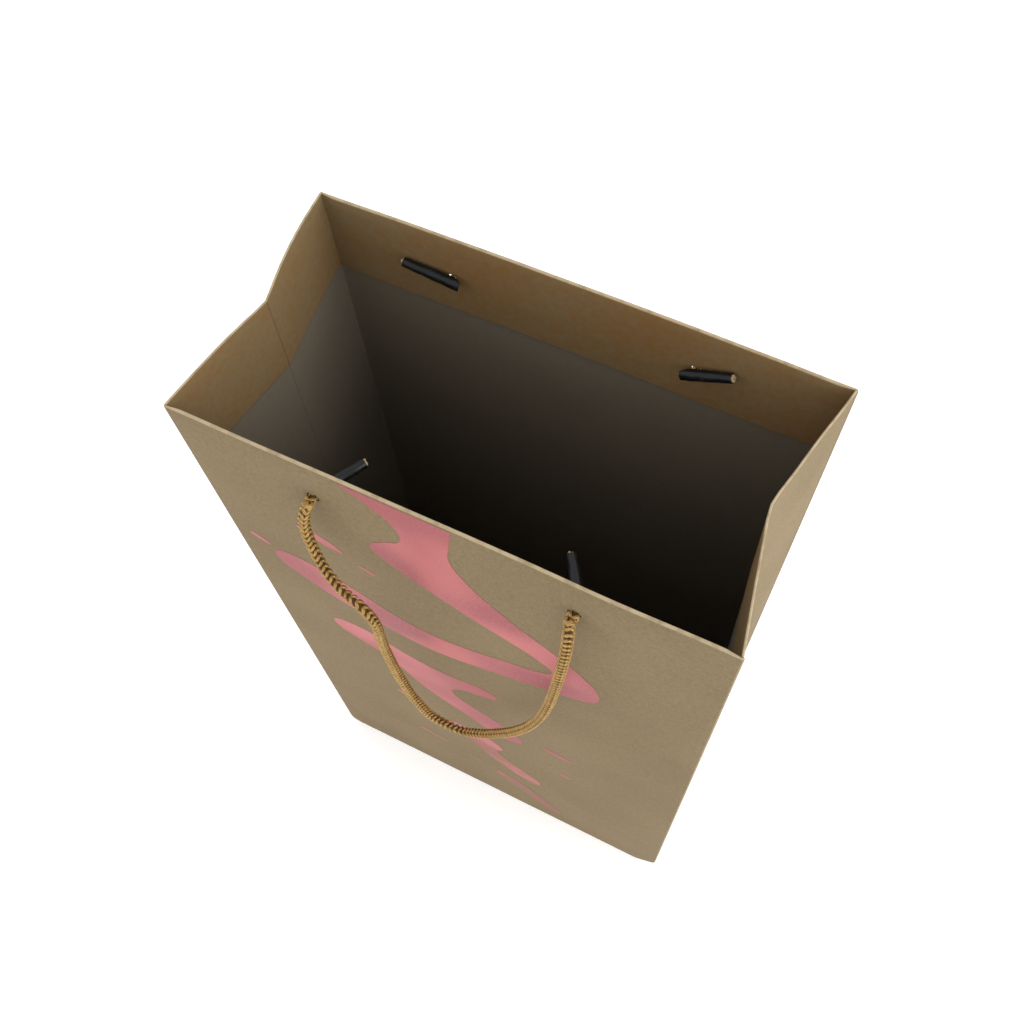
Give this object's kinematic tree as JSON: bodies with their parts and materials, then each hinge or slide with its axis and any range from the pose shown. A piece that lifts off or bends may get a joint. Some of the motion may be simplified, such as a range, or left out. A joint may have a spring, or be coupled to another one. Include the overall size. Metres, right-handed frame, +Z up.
{
  "type": "wine gift bag",
  "caption": "Tall rectangular kraft board gift bag for wine bottles, with folding gusseted sides, a turned-in hem, a foil splash on the front and knitted cord handles.",
  "frame": {"origin": "middle of the bag's foot, on the surface it stands on", "axes": "+Z up, +X to the right across the front panel, +Y from the front panel to the back panel; the front panel with the foil splash faces -Y"},
  "size_m": [0.2, 0.1337, 0.36],
  "materials": {
    "kraft": "matte brown kraft board",
    "grey_card": "matte grey-brown card",
    "gold_cord": "glossy gold-brown knitted cord",
    "black_sleeve": "black plastic tube",
    "pink_foil": "pink-red metallic foil print"
  },
  "bodies": {
    "base": {"bottom_flap_front": "kraft", "bottom_flap_back": "kraft", "bottom_flap_left": "kraft", "bottom_flap_right": "kraft", "base_card": "grey_card"},
    "front_wall": {"front_panel": "kraft", "front_top_card": "grey_card", "front_turn_in": "kraft"},
    "back_wall": {"back_panel": "kraft", "back_top_card": "grey_card", "back_turn_in": "kraft", "side_seam_flap": "kraft"},
    "left_front_fold": {"left_side_front": "kraft", "left_side_front_turn_in": "kraft"},
    "left_rear_fold": {"left_side_rear": "kraft", "left_side_rear_turn_in": "kraft"},
    "right_front_fold": {"right_side_front": "kraft", "right_side_front_turn_in": "kraft"},
    "right_rear_fold": {"right_side_rear": "kraft", "right_side_rear_turn_in": "kraft"},
    "front_handle": {"front_handle_cord": "gold_cord"},
    "back_handle": {"back_handle_cord": "gold_cord"},
    "front_left_end": {"front_left_sleeve": "black_sleeve", "front_left_cord_end": "gold_cord"},
    "front_right_end": {"front_right_sleeve": "black_sleeve", "front_right_cord_end": "gold_cord"},
    "back_left_end": {"back_left_sleeve": "black_sleeve", "back_left_cord_end": "gold_cord"},
    "back_right_end": {"back_right_sleeve": "black_sleeve", "back_right_cord_end": "gold_cord"}
  },
  "joints": [
    {"name": "mouth_close", "type": "hinge", "parent": "base", "child": "front_wall", "pos_m": [0, -0.0498, 0.0003], "axis": [-1, 0, 0], "range_deg": [0, 5]},
    {"name": "back_wall_close", "type": "hinge", "parent": "base", "child": "back_wall", "pos_m": [0, 0.0498, 0.0003], "axis": [1, 0, 0], "range_deg": [0, 5]},
    {"name": "left_front_fold_in", "type": "hinge", "parent": "base", "child": "left_front_fold", "pos_m": [-0.0998, -0.0491, 0], "axis": [-0.0744, -0.0435, -0.9963], "range_deg": [0, 61]},
    {"name": "left_rear_fold_in", "type": "hinge", "parent": "base", "child": "left_rear_fold", "pos_m": [-0.0998, 0.0491, 0], "axis": [0.0744, -0.0435, 0.9963], "range_deg": [0, 61]},
    {"name": "right_front_fold_in", "type": "hinge", "parent": "base", "child": "right_front_fold", "pos_m": [0.0998, -0.0491, 0], "axis": [-0.0785, 0.0435, 0.996], "range_deg": [0, 58.3]},
    {"name": "right_rear_fold_in", "type": "hinge", "parent": "base", "child": "right_rear_fold", "pos_m": [0.0998, 0.0491, 0], "axis": [0.0785, 0.0435, -0.996], "range_deg": [0, 58.3]},
    {"name": "front_handle_swing", "type": "hinge", "parent": "front_wall", "child": "front_handle", "pos_m": [0, -0.0533, 0.339], "axis": [-1, 0, 0], "range_deg": [0, 160]},
    {"name": "back_handle_swing", "type": "hinge", "parent": "back_wall", "child": "back_handle", "pos_m": [0, 0.0533, 0.339], "axis": [1, 0, 0], "range_deg": [0, 160]},
    {"name": "front_left_end_swivel", "type": "hinge", "parent": "front_wall", "child": "front_left_end", "pos_m": [-0.0475, -0.049, 0.339], "axis": [0, 1, 0], "range_deg": [-90, 90]},
    {"name": "front_right_end_swivel", "type": "hinge", "parent": "front_wall", "child": "front_right_end", "pos_m": [0.0475, -0.049, 0.339], "axis": [0, 1, 0], "range_deg": [-90, 90]},
    {"name": "back_left_end_swivel", "type": "hinge", "parent": "back_wall", "child": "back_left_end", "pos_m": [-0.0475, 0.049, 0.339], "axis": [0, 1, 0], "range_deg": [-90, 90]},
    {"name": "back_right_end_swivel", "type": "hinge", "parent": "back_wall", "child": "back_right_end", "pos_m": [0.0475, 0.049, 0.339], "axis": [0, 1, 0], "range_deg": [-90, 90]}
  ],
  "couplings": [
    {"joint": "back_wall_close", "follows": "mouth_close", "ratio": 1},
    {"joint": "left_front_fold_in", "follows": "mouth_close", "ratio": 12.168},
    {"joint": "left_rear_fold_in", "follows": "mouth_close", "ratio": 12.168},
    {"joint": "right_front_fold_in", "follows": "mouth_close", "ratio": 11.632},
    {"joint": "right_rear_fold_in", "follows": "mouth_close", "ratio": 11.632}
  ]
}
